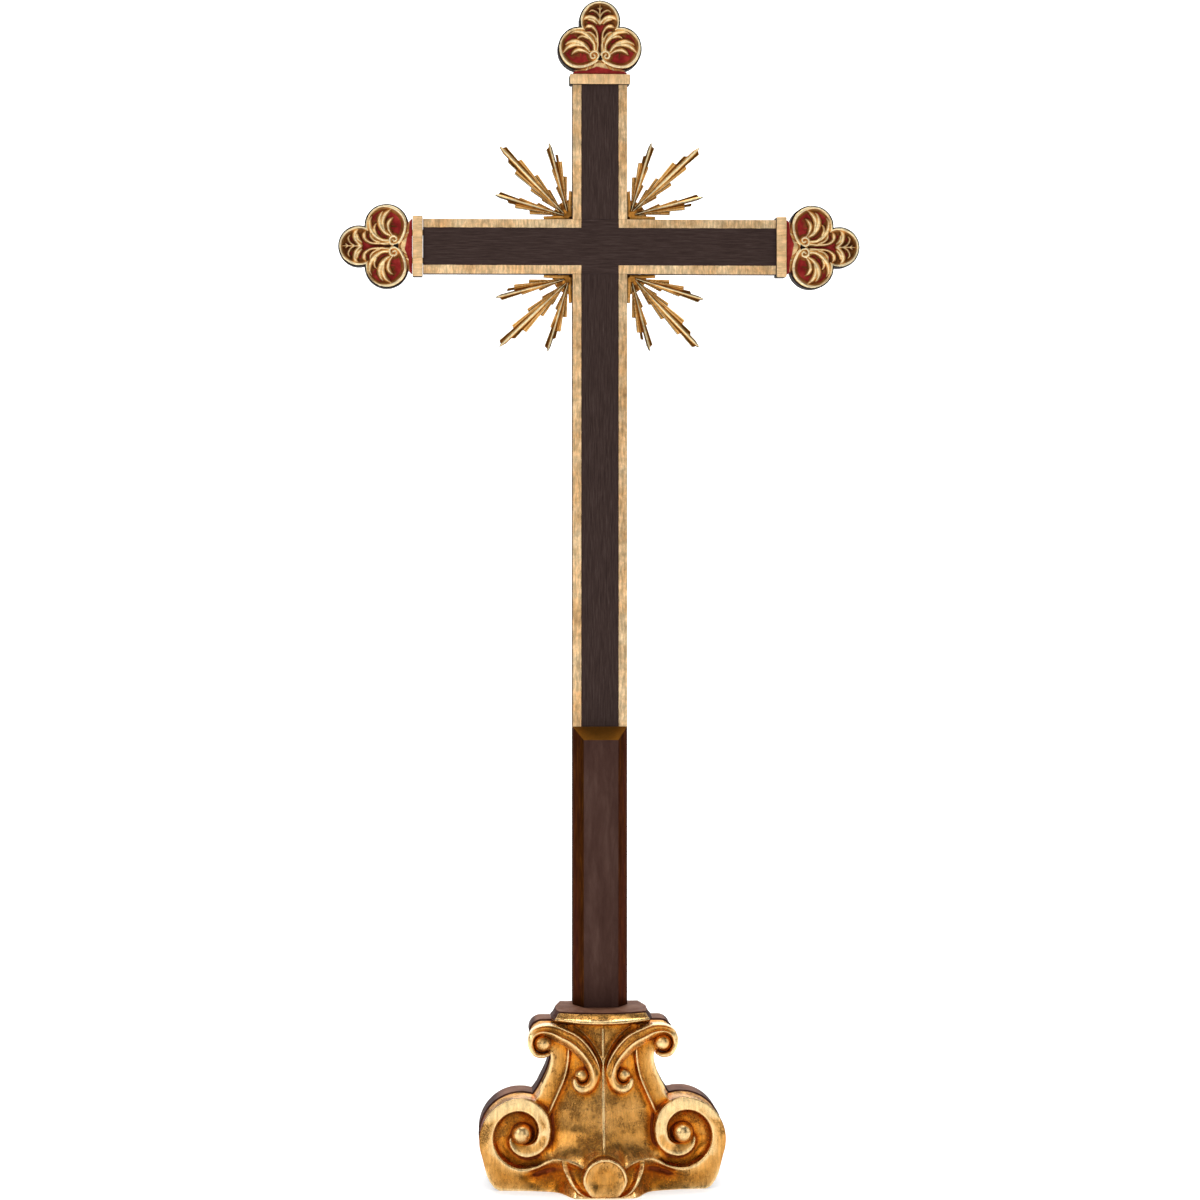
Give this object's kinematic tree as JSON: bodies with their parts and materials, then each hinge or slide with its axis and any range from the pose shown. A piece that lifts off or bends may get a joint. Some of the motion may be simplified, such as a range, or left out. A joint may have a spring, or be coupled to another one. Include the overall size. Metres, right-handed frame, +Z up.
{
  "type": "altar cross",
  "caption": "Tall standing altar cross with gilded borders, trefoil finials and ray clusters on a chamfered stem and a carved scroll base.",
  "frame": {"origin": "centre of the bottom of the bounding box, on the surface the cross stands on", "axes": "+Z up along the upright, +Y towards the flat back, so the front faces -Y"},
  "size_m": [0.522, 0.126, 1.1764],
  "materials": {
    "brown_paint": "dark brown painted wood with gilded border strips",
    "stem_paint": "purple-brown painted wood, patinated gilded chamfers",
    "pale_gilding": "pale gold leaf on carved wood, lightly rubbed",
    "base_gilding": "warm gold leaf over orange bole on carved wood, dark in the hollows",
    "ray_gilding": "orange gold leaf with dark patinated edges",
    "red_bole": "red painted ground with gilded carving",
    "beech": "plain beech dowel",
    "zinc_steel": "zinc-plated steel"
  },
  "bodies": {
    "root": {"base_console_left": "base_gilding", "base_console_right": "base_gilding", "base_core": "base_gilding", "base_top_plate": "base_gilding", "c_scroll_left": "base_gilding", "c_scroll_right": "base_gilding", "cheek_dowel_lower": "beech", "cheek_dowel_upper": "beech", "collar_left": "pale_gilding", "collar_right": "pale_gilding", "collar_top": "pale_gilding", "crossbeam": "brown_paint", "finial_left": "red_bole", "finial_left_dowel_1": "beech", "finial_left_dowel_2": "beech", "finial_right": "red_bole", "finial_right_dowel_1": "beech", "finial_right_dowel_2": "beech", "finial_top": "red_bole", "finial_top_dowel_1": "beech", "finial_top_dowel_2": "beech", "foot_dowel_left": "beech", "foot_dowel_right": "beech", "foot_lunette": "base_gilding", "inner_eye_left": "base_gilding", "inner_eye_right": "base_gilding", "lap_peg_left": "beech", "lap_peg_right": "beech", "outer_eye_left": "base_gilding", "outer_eye_right": "base_gilding", "plate_dowel_left": "beech", "plate_dowel_right": "beech", "ray_cluster_lower_left": "ray_gilding", "ray_cluster_lower_right": "ray_gilding", "ray_cluster_upper_left": "ray_gilding", "ray_cluster_upper_right": "ray_gilding", "ray_pin_lower_left_arm": "zinc_steel", "ray_pin_lower_left_upright": "zinc_steel", "ray_pin_lower_right_arm": "zinc_steel", "ray_pin_lower_right_upright": "zinc_steel", "ray_pin_upper_left_arm": "zinc_steel", "ray_pin_upper_left_upright": "zinc_steel", "ray_pin_upper_right_arm": "zinc_steel", "ray_pin_upper_right_upright": "zinc_steel", "rod_nut": "zinc_steel", "rod_washer": "zinc_steel", "stem_cheek": "stem_paint", "tie_rod": "zinc_steel", "upright_beam": "brown_paint", "volute_eye_left": "base_gilding", "volute_eye_right": "base_gilding"}
  },
  "joints": []
}
